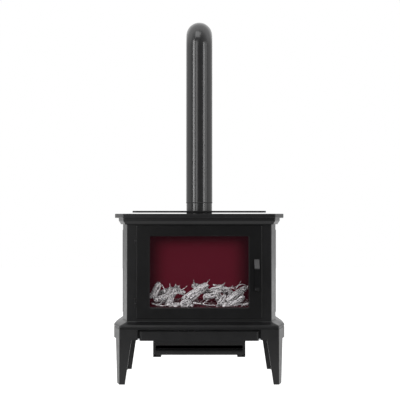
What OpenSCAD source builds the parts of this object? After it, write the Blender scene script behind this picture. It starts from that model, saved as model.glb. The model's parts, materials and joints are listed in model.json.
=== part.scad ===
// Electric stove with a tall decorative pipe. Millimetres, +Z up, the front faces -Y.
// The origin is on the floor, under the middle of the base.

/* [Base] */
// Width over the base rail
base_w = 600; // [590:1:610]
// Depth over the base rail
base_d = 300; // [296:1:304]
// Width of the flat front of the base rail
rail_front_w = 548; // [540:1:556]
// Depth of each canted front corner of the base rail
rail_cant_d = 78; // [70:1:84]
// Depth of each long canted rear corner of the base rail
rail_rear_cant_d = 170; // [150:1:180]
// Floor to the underside of the base rail
leg_h = 152; // [146:1:156]
// Wall thickness of the base rail
rail_t = 6; // [5:0.5:7]

/* [Body] */
// Width between the flat sides of the front surround
body_w = 542; // [538:1:546]
// Width of the flat front face
body_front_w = 501; // [496:1:506]
// How far the front face stands behind the base rail
body_recess = 25; // [24:1:26]
// Height of the body between base and cornice
body_h = 335; // [333:1:337]
// Thickness of the front surround
surround_t = 2.5; // [2:0.5:3]
// How far the raised fields of the side panels stand out
field_t = 2; // [1:0.5:2.5]
// Height of the cornice
cornice_h = 37; // [37:1:39]

/* [Door] */
// Width of the door
door_w = 436; // [432:1:438]
// Height of the door
door_h = 322; // [320:1:324]
// Width of the window
window_w = 342; // [338:1:346]
// Height of the window
window_h = 246; // [244:1:248]
// Length of the handle
handle_h = 110; // [100:1:120]

/* [Pipe] */
// Outer diameter of the pipe
pipe_d = 96; // [90:1:98]
// Radius of the elbow, along the middle of the pipe
bend_r = 52; // [50:1:56]
// Overall height of the stove and its pipe
total_h = 1298; // [1240:1:1320]

/* [Heater] */
// Width of the fan heater box
heater_w = 323; // [319:1:327]
// Height of the heater box above the floor
heater_z = 93; // [91:1:95]
// Height of the warm air outlet
outlet_h = 11; // [9:1:12]

/* [Hidden] */
$fn = 64;
fit = 0.05;                     // radial clearance of a running fit
clear = 0.3;                    // gap between neighbours that must not touch
cut = 1;                        // how far a cutter runs past the solid it cuts
corner_steps = 4;               // segments in each rounded corner of a plan outline

front_y = -base_d / 2;
rear_y = base_d / 2;
rail_h = 38;
rail_top = leg_h + rail_h;
body_z = leg_h + 62;
body_top = body_z + body_h;
slab_z = body_top + cornice_h;
body_y = front_y + body_recess;
body_rear = rear_y - 4;
body_cant_d = 75;
panel_t = 1.5;
door_front = body_y - 6;
handle_out = 25;                // how far the handle stands off the door

// Plan outlines: eight corners, anticlockwise from the front left one.
function plan(front_half, outer_half, fy, cant, rear_half, ry, rear_cant) = [
    [-front_half, fy], [front_half, fy], [outer_half, fy + cant], [outer_half, ry - rear_cant],
    [rear_half, ry], [-rear_half, ry], [-outer_half, ry - rear_cant], [-outer_half, fy + cant]];

body_plan = plan(body_front_w / 2, body_w / 2, body_y, body_cant_d, body_w / 2 - 4, body_rear, 4);
rail_plan = plan(rail_front_w / 2, base_w / 2, front_y, rail_cant_d, rail_front_w / 2, rear_y,
    rail_rear_cant_d);
lip_plan = plan(262, base_w / 2 - 1.5, front_y, 90, base_w / 2 - 7.5, rear_y, 6);

function unit(v) = v / norm(v);
function mix(a, b, t) = a * (1 - t) + b * t;
function wrap(points, i) = points[(i + len(points)) % len(points)];
function left_of(v) = [-v.y, v.x];

// Moves every side of an anticlockwise outline inwards by d.
function inset(points, d) = [for (i = [0:len(points) - 1])
    let (m = left_of(unit(points[i] - wrap(points, i - 1))),
         n = left_of(unit(wrap(points, i + 1) - points[i])))
    points[i] + d * (m + n) / (1 + m * n)];

// The arc of radius r that rounds corner b between a and c.
function corner_arc(a, b, c, r) =
    let (u = unit(a - b), v = unit(c - b), half = acos(u * v) / 2, turn = 180 - 2 * half,
         centre = b + unit(u + v) * r / sin(half), s = b + u * r / tan(half) - centre,
         e = b + v * r / tan(half) - centre)
    [for (i = [0:corner_steps]) let (t = i / corner_steps)
        centre + (s * sin((1 - t) * turn) + e * sin(t * turn)) / sin(turn)];
function rounded(points, r) = [for (i = [0:len(points) - 1])
    each corner_arc(wrap(points, i - 1), points[i], wrap(points, i + 1), r)];
function rect(x0, y0, x1, y1) = [[x0, y0], [x1, y0], [x1, y1], [x0, y1]];

// A closed solid through outlines that have the same number of corners, one at each height.
module loft(outlines, heights) {
    n = len(outlines[0]);
    last = len(heights) - 1;
    points = [for (k = [0:last]) for (p = outlines[k]) [p.x, p.y, heights[k]]];
    sides = [for (k = [0:last - 1]) for (i = [0:n - 1])
        let (a = k * n + i, b = k * n + (i + 1) % n) each [[a, a + n, b + n], [a, b + n, b]]];
    polyhedron(points, concat([[for (i = [0:n - 1]) i]], sides,
        [[for (i = [n - 1:-1:0]) last * n + i]]), convexity = 6);
}
// Stands a flat shape up in the XZ plane, from y back towards the front by t.
module upright(y, t) { translate([0, y, 0]) rotate([90, 0, 0]) linear_extrude(t) children(); }
// Runs a YZ profile along X, from x0 to x1.
module along_x(x0, x1) { translate([x0, 0, 0]) rotate([90, 0, 90]) linear_extrude(x1 - x0) children(); }
module block(a, b) { translate(a) cube(b - a); }
module rod_x(x0, x1, y, z, r) { translate([x0, y, z]) rotate([0, 90, 0]) cylinder(h = x1 - x0, r = r); }
module rod_y(y0, y1, x, z, r) { translate([x, y0, z]) rotate([-90, 0, 0]) cylinder(h = y1 - y0, r = r); }
module both_sides() { children(); mirror([1, 0, 0]) children(); }

// ---------------------------------------------------------------- base
notch_half = 212;
notch_top = rail_top - 2;
boss_w = 9;
groove_d = 1.5;
shoulder_h = 14.5;
shoulder_d = 0.97;              // share of the way from body to rail that the shoulder covers
shoulder_steps = 10;
ring_z = rail_top + 6;

module plinth() color([0.13, 0.13, 0.135]) {
    steps = [for (i = [0:shoulder_steps]) i / shoulder_steps];
    shoulder = [for (s = steps) mix(body_plan, rail_plan, shoulder_d * (1 + cos(180 * s)) / 2)];
    groove = inset(rail_plan, groove_d);
    sections = concat([rail_plan, rail_plan, groove, groove, rail_plan, rail_plan], shoulder);
    heights = concat([leg_h, rail_top - 1, rail_top, rail_top + 1, rail_top + 2.5, rail_top + 7.5],
        [for (s = steps) body_z - shoulder_h * (1 - s)]);
    difference() {
        union() {
            difference() {
                loft([for (s = sections) rounded(s, 5)], heights);
                translate([0, 0, leg_h - cut]) linear_extrude(ring_z - leg_h + cut)
                    polygon(inset(rail_plan, rail_t));
                translate([0, 0, leg_h]) linear_extrude(body_z) polygon(inset(body_plan, rail_t));
                block([-notch_half, front_y - cut, leg_h - cut],
                    [notch_half, front_y + rail_t + cut, notch_top]);
            }
            both_sides() block([notch_half, front_y + 2, leg_h + 1],
                [notch_half + boss_w, flap_y + 6, leg_h + 13]);
        }
        both_sides() for (x = bolt_xs) for (side = [-1, 1])
            rod_y(min(side * bolt_in, side * bolt_tip), max(side * bolt_in, side * bolt_tip), x,
                rail_top - 18, 3);
        both_sides() rod_x(notch_half - cut, notch_half + 5, flap_y, flap_z, flap_pin_r);
    }
}

// Legs: an L-shaped casting that tapers towards the floor, with a tongue bolted inside the rail. Its outer
// wing follows the rail's cant, which is steeper at the front than at the rear.
leg_t = 8;
pad_t = 2;
leg_in_top = 232.7;
leg_in_foot = 255;
leg_d_top = 51;                 // how far back the wing runs at the top and at the foot
leg_d_foot = 32;
leg_past = 4;
bolt_xs = [242, 256];
bolt_in = base_d / 2 - rail_t - cut;
bolt_tip = base_d / 2 - 2;
tongue_t = 7;

// A plan of the leg from its inner edge round the corner and back to a depth along the cant.
function leg_section(inner, depth, cant) =
    let (corner = rail_front_w / 2, outer = mix(rail_front_w, base_w, depth / cant) / 2)
    [[inner, front_y], [corner, front_y], [outer, front_y + depth], [outer - leg_t, front_y + depth],
     [corner - leg_t * 0.72, front_y + leg_t], [inner, front_y + leg_t]];
// A view of the leg with one upright edge and one edge that slants from foot to top, run past both ends.
function leg_view(edge, foot, top) = let (
    ends = [pad_t - leg_past, leg_h + leg_past],
    slant = [for (z = ends) [mix(foot, top, (z - pad_t) / (leg_h - pad_t)), z]])
    [slant[0], slant[1], [edge, ends[1]], [edge, ends[0]]];

module leg(cant) color([0.14, 0.14, 0.145]) difference() {
    union() {
        intersection() {
            translate([0, 0, pad_t]) linear_extrude(leg_h - pad_t)
                polygon(leg_section(leg_in_top - leg_past, leg_d_top + leg_past, cant));
            upright(0, base_d) polygon(leg_view(base_w / 2 + leg_past, leg_in_foot, leg_in_top));
            along_x(0, base_w) polygon(leg_view(front_y - leg_past, front_y + leg_d_foot, front_y + leg_d_top));
        }
        block([leg_in_top + 4, front_y + rail_t, leg_h - 12],
            [leg_in_top + 32, front_y + rail_t + tongue_t, rail_top - 6]);
    }
    for (x = bolt_xs) rod_y(front_y, front_y + rail_t + tongue_t + cut, x, rail_top - 18, 3);
}
module leg_front_right() leg(rail_cant_d);
module leg_front_left() mirror([1, 0, 0]) leg(rail_cant_d);
module leg_rear_right() mirror([0, 1, 0]) leg(rail_rear_cant_d);
module leg_rear_left() rotate(180) leg(rail_rear_cant_d);

module foot_pads() color([0.05, 0.05, 0.05]) both_sides() for (rear = [0, 1]) mirror([0, rear, 0])
    linear_extrude(pad_t)
        polygon(inset(leg_section(leg_in_foot, leg_d_foot, rear ? rail_rear_cant_d : rail_cant_d), 0.6));

module leg_bolts() color("silver") both_sides() for (side = [0, 1]) mirror([0, side, 0]) for (x = bolt_xs) {
    rod_y(-bolt_tip, front_y + rail_t + tongue_t, x, rail_top - 18, 3);
    translate([x, front_y + rail_t + tongue_t, rail_top - 18]) rotate([-90, 30, 0])
        cylinder(h = 4, r = 5.6, $fn = 6);
}

plate_t = 2;
module base_plate() color([0.2, 0.2, 0.21]) difference() {
    translate([0, 0, body_z]) linear_extrude(plate_t) intersection() {
        polygon(inset(body_plan, surround_t + clear));
        translate([-body_w, body_y]) square([2 * body_w, body_rear - 7.5 - body_y]);
    }
    for (x = [-90, 90]) translate([x, 60, body_z - cut]) cylinder(h = plate_t + 2 * cut, r = 12);
}

// ---------------------------------------------------------------- body
opening_half = door_w / 2 - 6;
door_z = body_z + 9;
opening_z = [door_z + 6, door_z + door_h - 6];
side_y = body_y + body_cant_d;
body_skin = 2.5;

module front_surround() color([0.13, 0.13, 0.135]) difference() {
    translate([0, 0, body_z]) linear_extrude(body_h) intersection() {
        difference() {
            polygon(rounded(body_plan, 3.5));
            polygon(inset(body_plan, surround_t));
        }
        translate([-body_w, body_y - cut]) square([2 * body_w, body_cant_d + cut + 6]);
    }
    block([-opening_half, body_y - cut, opening_z[0]],
        [opening_half, body_y + surround_t + cut, opening_z[1]]);
}

field_z = [body_z + 23, body_top - 20];

module side_panel() color([0.16, 0.16, 0.165]) union() {
    block([body_w / 2 - body_skin, side_y + 6 + 0.2, body_z], [body_w / 2, body_rear - 4.2, body_top]);
    block([body_w / 2 - cut, side_y + 8, field_z[0]], [body_w / 2 + field_t, body_rear - 12, field_z[1]]);
    block([body_w / 2 - 16, body_rear - 7, body_z], [body_w / 2 - 2, body_rear - 4.2, body_top]);
    block([body_w / 2 - body_skin - 2, side_y + 2 * clear, body_z + 4],
        [body_w / 2 - body_skin, side_y + 16, body_top - 4]);
}
module side_panel_right() side_panel();
module side_panel_left() mirror([1, 0, 0]) side_panel();

vent_rows = 6;
vent_w = 60;
screw_xs = [-262, 262];
screw_zs = [body_z + 30, (body_z + body_top) / 2, body_top - 30];
gland_x = 150;
gland_z = body_z + 36;

module rear_panel() color([0.16, 0.16, 0.165]) difference() {
    block([-body_w / 2 + 0.5, body_rear - 4, body_z], [body_w / 2 - 0.5, body_rear - 4 + panel_t, body_top]);
    for (x = [-150, 0, 150]) for (i = [0:vent_rows - 1]) translate([x, body_rear, body_top - 40 - 11 * i])
        upright_slot(vent_w, 4);
    for (x = screw_xs) for (z = screw_zs) rod_y(body_rear - 12, body_rear + cut, x, z, 2.05);
    rod_y(body_rear - 12, body_rear + cut, gland_x, gland_z, 8);
}
module upright_slot(w, h) translate([0, 2, 0]) rotate([90, 0, 0]) linear_extrude(14) union() {
    square([w - h, h], center = true);
    for (s = [-1, 1]) translate([s * (w - h) / 2, 0]) circle(h / 2);
}
module panel_screws() color("silver") for (x = screw_xs) for (z = screw_zs) {
    rod_y(body_rear - 4, body_rear - 4 + panel_t, x, z, 2);
    translate([x, body_rear - 4 + panel_t, z]) rotate([-90, 0, 0]) cylinder(h = 1.8, r1 = 4, r2 = 2.6);
}

gland_bore = 4;
module cable_gland() color([0.06, 0.06, 0.06]) difference() {
    union() {
        rod_y(body_rear - 16, body_rear, gland_x, gland_z, 7.9);
        translate([gland_x, body_rear - 4 + panel_t, gland_z]) rotate([-90, 30, 0])
            cylinder(h = 6.4, r = 11, $fn = 6);
        rod_y(body_rear - 9, body_rear - 4, gland_x, gland_z, 10.5);
    }
    rod_y(body_rear - 20, body_rear + 10, gland_x, gland_z, gland_bore);
}

// ---------------------------------------------------------------- cornice, top plate and pipe
lip_h = 15;
slab_t = 3;

// The body's outline grown by d at the front and sides, with its back left flush.
function grown_plan(d) = let (p = inset(body_plan, -d))
    plan(p[1].x, p[2].x, p[1].y, p[2].y - p[1].y, p[2].x - 4, body_rear, 4);

module cornice() color([0.12, 0.12, 0.125]) {
    step_out = 8;
    brow_out = 15;
    ogee_h = 14;
    lip_z = slab_z - lip_h;
    steps = [0:0.125:1];
    plans = concat(
        [for (s = steps) grown_plan(mix(step_out, brow_out, (1 - cos(180 * s)) / 2))],
        [grown_plan(brow_out)],
        [for (d = [1.5, 0, 0, 0.5, 1.8]) inset(lip_plan, d)]);
    heights = concat(
        [for (s = steps) body_top + ogee_h * s],
        [lip_z, lip_z + 0.01, lip_z + 1.5, slab_z - 1.8, slab_z - 0.5, slab_z]);
    difference() {
        loft([for (p = plans) rounded(p, 3.5)], heights);
        translate([0, 0, body_top - cut]) linear_extrude(6 + cut) polygon(inset(body_plan, 6));
        translate([0, 0, body_top + 5]) linear_extrude(cornice_h - slab_t - 5) polygon(grown_plan(3));
    }
}

plate_gap = 4;
top_plate_t = 6;
tray_t = 2;
top_plate_half = 233;
top_plate_y = [-118, 132];
spacer_xs = [-36, 36];
spacer_ys = [-85, 110];
spacer_stud = 1;
pipe_y = 40;
collar_r = pipe_d / 2 - 1;
plate_z = slab_z + plate_gap;

// A shallow tray, open below, that rests on four spacers.
module top_plate() color([0.1, 0.1, 0.105]) difference() {
    translate([0, 0, plate_z]) linear_extrude(top_plate_t) tray_outline(0);
    translate([0, 0, plate_z - cut]) linear_extrude(top_plate_t - tray_t + cut) tray_outline(tray_t);
    translate([0, pipe_y, plate_z - cut]) cylinder(h = top_plate_t + 2 * cut, r = collar_r + 0.8);
    for (x = spacer_xs) for (y = spacer_ys)
        translate([x, y, plate_z]) cylinder(h = top_plate_t - tray_t + spacer_stud, r = 3.05);
}
module tray_outline(d) polygon(rounded(rect(-top_plate_half + d, top_plate_y[0] + d, top_plate_half - d,
    top_plate_y[1] - d), 14 - d));
module plate_spacers() color([0.1, 0.1, 0.1]) for (x = spacer_xs) for (y = spacer_ys)
    translate([x, y, slab_z]) {
        cylinder(h = plate_gap + top_plate_t - tray_t, r = 8);
        cylinder(h = plate_gap + top_plate_t - tray_t + spacer_stud, r = 3);
    }

pipe_wall = 1.5;
seam_z = slab_z + 40;
spigot_h = 30;
flange_t = 3;
module flue_collar() color([0.15, 0.15, 0.16]) translate([0, pipe_y, 0]) difference() {
    union() {
        translate([0, 0, slab_z]) cylinder(h = seam_z - slab_z, r = collar_r);
        translate([0, 0, slab_z]) cylinder(h = seam_z + spigot_h - slab_z, r = pipe_d / 2 - pipe_wall - fit);
    }
    translate([0, 0, slab_z + flange_t]) cylinder(h = 200, r = collar_r - 3);
    translate([0, 0, slab_z - cut]) cylinder(h = 10, r = collar_r - 15);
    for (a = [30:120:270]) rotate(a) translate([collar_r - 9, 0, slab_z - cut])
        cylinder(h = flange_t + 2 * cut, r = 2.05);
}

bend_z = total_h - pipe_d / 2 - bend_r;
pipe_end = handle_out - door_front;
module pipe_run(r, extra) {
    translate([0, pipe_y, seam_z + fit - extra]) cylinder(h = bend_z - seam_z - fit + extra, r = r);
    translate([0, pipe_y + bend_r, bend_z]) rotate([90, 0, -90]) rotate_extrude(angle = 90)
        translate([bend_r, 0]) circle(r);
    rod_y(pipe_y + bend_r, pipe_end + extra, 0, bend_z + bend_r, r);
}
module flue_pipe() color([0.2, 0.2, 0.21]) difference() {
    pipe_run(pipe_d / 2, 0);
    pipe_run(pipe_d / 2 - pipe_wall, cut);
}

// ---------------------------------------------------------------- door
door_back = body_y - clear;
rim_back = body_y + 12;
rim_half = door_w / 2 - 10;
rebate = 9;                     // how far the glass pocket reaches past the window all round
pocket_half = window_w / 2 + rebate;
window_z = door_z + 39;
glass_t = 4;
hinge_x = -door_w / 2 - 3;
hinge_y = door_front + 3;
hinge_h = 34;
hinge_zs = [door_z + 36, door_z + door_h - 36 - hinge_h];
knuckle_r = 2.8;
hinge_pin_r = 1.5;
handle_x = 199;
handle_z = door_z + 95;

module window_outline(grow) polygon(rounded(rect(-window_w / 2 - grow, window_z - grow,
    window_w / 2 + grow, window_z + window_h + grow), 5 + grow));

module door_frame() color([0.1, 0.1, 0.105]) difference() {
    union() {
        translate([0, door_back, 0]) rotate([90, 0, 0]) loft(
            [for (d = [0, 0, 1.2, 3]) rounded(rect(-door_w / 2 + d, door_z + d, door_w / 2 - d,
                door_z + door_h - d), 4)],
            [0, door_back - door_front - 2, door_back - door_front - 0.8, door_back - door_front]);
        upright(rim_back, rim_back - door_back + 0.01)
            polygon(rect(-rim_half, door_z + 10, rim_half, door_z + door_h - 10));
    }
    upright(rim_back + cut, rim_back - door_front + 2 * cut) window_outline(0);
    upright(rim_back + cut, rim_back + cut - door_back)
        polygon(rect(-pocket_half, window_z - rebate, pocket_half, window_z + window_h + rebate));
    translate([0, door_front + 3.5, 0]) rotate([90, 0, 0]) loft(
        [for (d = [0, 4]) rounded(rect(-window_w / 2 - d, window_z - d, window_w / 2 + d,
            window_z + window_h + d), 5 + d)], [0, 4]);
    for (z = handle_bolt_zs) rod_y(door_front - cut, rim_back + cut, handle_x, z, 2.55);
}

module door_glass() color([0.3, 0.1, 0.12, 0.35])
    upright(door_back + glass_t, glass_t)
        polygon(rounded(rect(-pocket_half + 0.5, window_z - rebate + 0.5, pocket_half - 0.5,
            window_z + window_h + rebate - 0.5), 4));

// Spring clips that hold the glass in the door's rebate.
clip_half = 8;
clip_t = 1;
clip_foot = 12;
module glass_clips() color("silver") translate([0, 0, window_z + window_h / 2]) for (x = [-120, 0, 120])
    for (side = [0, 1]) mirror([0, 0, side]) translate([x - clip_half, 0, window_h / 2 + rebate]) {
        block([0, door_back + glass_t, -clip_half], [2 * clip_half, door_back + glass_t + clip_t, 0]);
        block([0, door_back + glass_t, -clip_t], [2 * clip_half, rim_back + clip_t, 0]);
        block([0, rim_back, -clip_t], [2 * clip_half, rim_back + clip_t, clip_foot]);
    }

// Lift-off hinges: the pin stands in the bracket, and the door's knuckle drops over it.
half_knuckle = hinge_h / 2;
module hinge_brackets() color([0.12, 0.12, 0.12]) for (z = hinge_zs) difference() {
    union() {
        translate([hinge_x, hinge_y, z]) cylinder(h = half_knuckle - 0.2, r = knuckle_r);
        block([hinge_x - 2, hinge_y, z], [hinge_x + 2, body_y, z + half_knuckle - 0.2]);
    }
    translate([hinge_x, hinge_y, z + 3]) cylinder(h = hinge_h, r = hinge_pin_r);
}
module hinge_pins() color("silver") for (z = hinge_zs)
    translate([hinge_x, hinge_y, z + 3]) cylinder(h = hinge_h - 5, r = hinge_pin_r);
module door_knuckles() color([0.12, 0.12, 0.12]) for (z = hinge_zs) difference() {
    union() {
        translate([hinge_x, hinge_y, z + half_knuckle + 0.2]) cylinder(h = half_knuckle, r = knuckle_r);
        block([hinge_x, hinge_y - 2, z + half_knuckle + 0.2],
            [-door_w / 2, hinge_y + 2, z + hinge_h + 0.2]);
    }
    translate([hinge_x, hinge_y, z]) cylinder(h = hinge_h - 2 + 0.5, r = hinge_pin_r + fit);
}

// The handle: a sloping head, a grip that stands off the door and a foot that touches it again.
handle_w = 17;
grip_w = 14;
handle_bolt_zs = [handle_z + 5, handle_z + handle_h - 16];
module door_handle() color([0.16, 0.16, 0.17]) difference() {
    union() {
        along_x(handle_x - handle_w / 2, handle_x + handle_w / 2) polygon([
            [door_front, handle_z + handle_h], [door_front, handle_z + handle_h - 30],
            [door_front - handle_out + 6, handle_z + handle_h - 34],
            [door_front - handle_out, handle_z + handle_h - 29]]);
        along_x(handle_x - grip_w / 2, handle_x + grip_w / 2) polygon([
            [door_front - handle_out, handle_z + handle_h - 29],
            [door_front - handle_out + 7, handle_z + handle_h - 31],
            [door_front - handle_out + 9, handle_z + 18], [door_front, handle_z + 12], [door_front, handle_z],
            [door_front - handle_out + 6, handle_z + 3], [door_front - handle_out + 1, handle_z + 14]]);
    }
    for (z = handle_bolt_zs) rod_y(door_front - 7, door_front + cut, handle_x, z, 2.5);
}
module handle_bolts() color("silver") for (z = handle_bolt_zs) {
    rod_y(door_front - 7, rim_back, handle_x, z, 2.5);
    translate([handle_x, rim_back, z]) rotate([-90, 30, 0]) cylinder(h = 3, r = 4.6, $fn = 6);
}

catch_z = door_z + door_h / 2 - 14;
module strike_plate() color("silver") block([190, rim_back, catch_z - 12], [204, rim_back + 1, catch_z + 12]);
module magnet_catch() color([0.08, 0.08, 0.08]) {
    block([190, rim_back + 1.6, catch_z - 10], [206, box_front, catch_z + 10]);
}

// ---------------------------------------------------------------- firebox and flame effect
box_half = 186;
box_front = body_y + 17;
screen_y = 18;
bed_z = body_z + 22;
bed_top = window_z - 2;
liner_top = door_z + door_h - 18;

module firebox_liner() color([0.05, 0.05, 0.05]) {
    roof_z = liner_top + panel_t;
    floor_z = body_z + plate_t;
    both_sides() block([box_half, box_front, floor_z], [box_half + panel_t, screen_y + 6, roof_z]);
    block([-box_half - panel_t, box_front, liner_top], [box_half + panel_t, screen_y + 6, roof_z]);
    both_sides() block([box_half, box_front, floor_z], [opening_half + 18, box_front + panel_t, roof_z]);
}
module flame_screen() color([0.31, 0.1, 0.14]) upright(screen_y + 4, 4)
    polygon(rect(-box_half + clear, bed_z + 34, box_half - clear, liner_top - clear));

module ember_bed() color([0.35, 0.1, 0.1]) along_x(-box_half + clear, box_half - clear) difference() {
    polygon([[box_front, body_z + plate_t], [box_front, bed_top], [box_front + 40, bed_top + 4],
        [screen_y - 0.4, bed_top + 18], [screen_y - 0.4, body_z + plate_t]]);
    polygon([[box_front + 3, body_z], [box_front + 3, bed_top - 3], [box_front + 40, bed_top + 1],
        [screen_y - 3.4, bed_top + 15], [screen_y - 3.4, body_z]]);
}

// A log lies between two points, thinner at its far end.
module log_between(a, b, r1, r2) color([0.55, 0.53, 0.5]) {
    v = b - a;
    translate(a) rotate([0, acos(v.z / norm(v)), atan2(v.y, v.x)])
        cylinder(h = norm(v), r1 = r1, r2 = r2, $fn = 32);
}
module log_left() log_between([-166, -78, 290], [-140, -56, 342], 10, 9);
module log_centre() log_between([-56, -86, 278], [32, -54, 338], 15, 12);
module log_cross() log_between([-26, -30, 334], [58, -24, 288], 11, 12);
module log_right() log_between([92, -88, 277], [170, -58, 328], 14, 9);
module log_rear_left() log_between([-158, -18, 291], [-66, -8, 315], 12, 13);
module log_front_left() log_between([-138, -78, 278], [-84, -50, 308], 14, 12);
module log_rear_right() log_between([66, -2, 322], [124, -6, 294], 12, 12);
module log_front_right() log_between([74, -62, 277], [54, -58, 318], 13, 11);

led_xs = [for (i = [-5:5]) i * 30];
module led_board() color([0.1, 0.3, 0.15]) {
    block([-165, -70, body_z + plate_t], [165, -40, body_z + plate_t + 1.6]);
    for (x = led_xs) translate([x, -55, body_z + plate_t + 1.6]) cylinder(h = 2, r = 2.5);
}

spindle_y = 70;
spindle_z = body_z + 50;
spindle_half = 168;
shaft_r = 3;
fin_count = 6;
module flame_spindle() color("silver") {
    rod_x(-spindle_half - 12, spindle_half + 4, spindle_y, spindle_z, shaft_r);
    for (i = [0:8]) for (k = [0:fin_count - 1]) translate([-148 + 37 * i, spindle_y, spindle_z])
        rotate([k * 360 / fin_count + 20 * i, 0, 0]) block([-15, -0.6, 0], [15, 0.6, 17]);
}
module spindle_bearings() color([0.2, 0.2, 0.21]) both_sides() difference() {
    union() {
        block([spindle_half - 1, spindle_y - 12, body_z + plate_t],
            [spindle_half + 1, spindle_y + 12, spindle_z + 12]);
        block([spindle_half - 1, spindle_y - 12, body_z + plate_t],
            [spindle_half + 14, spindle_y + 12, body_z + plate_t + 2]);
    }
    rod_x(spindle_half - 4, spindle_half + 4, spindle_y, spindle_z, shaft_r + fit);
}
module spindle_motor() color([0.3, 0.3, 0.32]) difference() {
    union() {
        rod_x(-spindle_half - 30, -spindle_half - 4, spindle_y, spindle_z, 18);
        block([-spindle_half - 30, spindle_y - 14, body_z + plate_t + 2],
            [-spindle_half - 15, spindle_y + 14, spindle_z]);
    }
    rod_x(-spindle_half - 13, -spindle_half, spindle_y, spindle_z, shaft_r + fit);
}

// ---------------------------------------------------------------- fan heater
heater_half = heater_w / 2;
heater_top = body_z - 0.2;
heater_y = [-90, 50];
outlet_half = heater_half - 9;
outlet_z = heater_z + 21;
sheet = 1.5;
fan_y = 8;
fan_z = heater_z + 66;
fan_r = 24;
fan_half = 105;
foot_w = 28;
foot_h = 9;
blades = 18;

module heater_box() color([0.12, 0.12, 0.125]) difference() {
    block([-heater_half, heater_y[0], heater_z], [heater_half, heater_y[1], heater_top]);
    block([-heater_half + sheet, heater_y[0] + sheet, heater_z + sheet],
        [heater_half - sheet, heater_y[1] - sheet, heater_top - sheet]);
    block([-outlet_half, heater_y[0] - cut, outlet_z],
        [outlet_half, heater_y[0] + 2 * cut + sheet, outlet_z + outlet_h]);
    for (x = [-108:12:108]) for (z = [fan_z - 20:14:fan_z + 30])
        rod_y(heater_y[1] - 4, heater_y[1] + cut, x, z, 3.5);
}
module outlet_deflector() color([0.2, 0.2, 0.21]) along_x(-outlet_half, outlet_half) polygon([
    [heater_y[0], outlet_z - 0.5], [heater_y[0] - 7, outlet_z - 6], [heater_y[0] - 8, outlet_z - 12],
    [heater_y[0] - 8, heater_z], [heater_y[0] - 6, heater_z], [heater_y[0] - 6, outlet_z - 12],
    [heater_y[0] - 5, outlet_z - 7], [heater_y[0], outlet_z - 3]]);
module heater_brackets() color([0.12, 0.12, 0.125]) both_sides() difference() {
    block([heater_half - foot_w, heater_y[0] + 2, heater_z - foot_h], [heater_half, heater_y[1], heater_z]);
    block([heater_half - foot_w + 2, heater_y[0], heater_z - foot_h + 2],
        [heater_half - 2, heater_y[1] + cut, heater_z + cut]);
}
module outlet_grille() color("silver") {
    front = heater_y[0] + 12.5;
    back = front + 3;
    base = outlet_z - 9;
    top = outlet_z + outlet_h + 9;
    for (x = [-140:8:140]) rod_z(x, (front + back) / 2, base + cut, top - cut, 0.8);
    for (z = [base, top - 1]) block([-146, front, z], [146, back, z + 1]);
    both_sides() block([144, front, base], [heater_half - sheet, back, top]);
}
module rod_z(x, y, z0, z1, r) { translate([x, y, z0]) cylinder(h = z1 - z0, r = r); }

module heating_element() color([0.75, 0.72, 0.65]) {
    for (z = [outlet_z - 6, outlet_z + outlet_h + 2]) block([-110, -66, z], [110, -44, z + 3]);
    for (x = [-104:8:104]) block([x - 0.5, -65, outlet_z - 3], [x + 0.5, -45, outlet_z + outlet_h + 2]);
    both_sides() block([110, -66, outlet_z - 6], [heater_half - sheet, -44, outlet_z + outlet_h + 5]);
}
module fan_impeller() color([0.7, 0.7, 0.72]) {
    for (x = [-fan_half, -fan_half / 2, 0, fan_half / 2, fan_half - 2]) difference() {
        rod_x(x, x + 2, fan_y, fan_z, fan_r);
        if (x > -fan_half && x < fan_half - 2) rod_x(x - cut, x + 2 + cut, fan_y, fan_z, fan_r - 7);
    }
    for (i = [0:blades - 1]) translate([0, fan_y, fan_z]) rotate([i * 360 / blades, 0, 0])
        translate([0, 0, fan_r - 6.5]) rotate([25, 0, 0])
        block([-fan_half, -0.5, 0], [fan_half, 0.5, 6]);
    rod_x(-fan_half - 12, -fan_half + cut, fan_y, fan_z, shaft_r);
    rod_x(fan_half - cut, fan_half + 14, fan_y, fan_z, shaft_r);
}
module fan_motor() color([0.3, 0.3, 0.32]) difference() {
    wall_x = heater_half - sheet;
    union() {
        rod_x(fan_half + 6, fan_half + 44, fan_y, fan_z, 22);
        block([fan_half + 10, fan_y - 26, fan_z - 26], [wall_x, fan_y + 26, fan_z - 18]);
        block([wall_x - 13, fan_y - 10, fan_z - 24], [wall_x, fan_y + 10, fan_z + 24]);
    }
    rod_x(fan_half, fan_half + 15, fan_y, fan_z, shaft_r + fit);
}
module fan_bearing() color([0.2, 0.2, 0.21]) difference() {
    union() {
        rod_x(-fan_half - 14, -fan_half - 3, fan_y, fan_z, 8);
        block([-fan_half - 12, fan_y - 12, heater_z + sheet], [-fan_half - 9, fan_y + 12, fan_z]);
    }
    rod_x(-fan_half - 16, -fan_half, fan_y, fan_z, shaft_r + fit);
}

// ---------------------------------------------------------------- controls behind the flap
flap_half = 206;
flap_z0 = leg_h - 2.5;
flap_h = 31.5;
flap_y = front_y + 8;
flap_z = leg_h + 2;
flap_pin_r = 2.5;
flap_d = 14;
flap_t = 2;

module flap_flat(d) polygon(rounded(rect(-flap_half + d, front_y + d, flap_half - d, rear_y), 10 - d));
module apron_flap() color([0.14, 0.14, 0.145]) difference() {
    translate([0, 0, flap_z0]) linear_extrude(flap_h) intersection() {
        difference() { flap_flat(0); flap_flat(flap_t); }
        translate([-flap_half - cut, front_y - cut]) square([2 * flap_half + 2 * cut, flap_d + cut]);
    }
    rod_x(-flap_half - cut, flap_half + cut, flap_y, flap_z, flap_pin_r + fit);
}
module flap_pins() color("silver") both_sides()
    rod_x(flap_half - 5, notch_half + 5, flap_y, flap_z, flap_pin_r);

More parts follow.
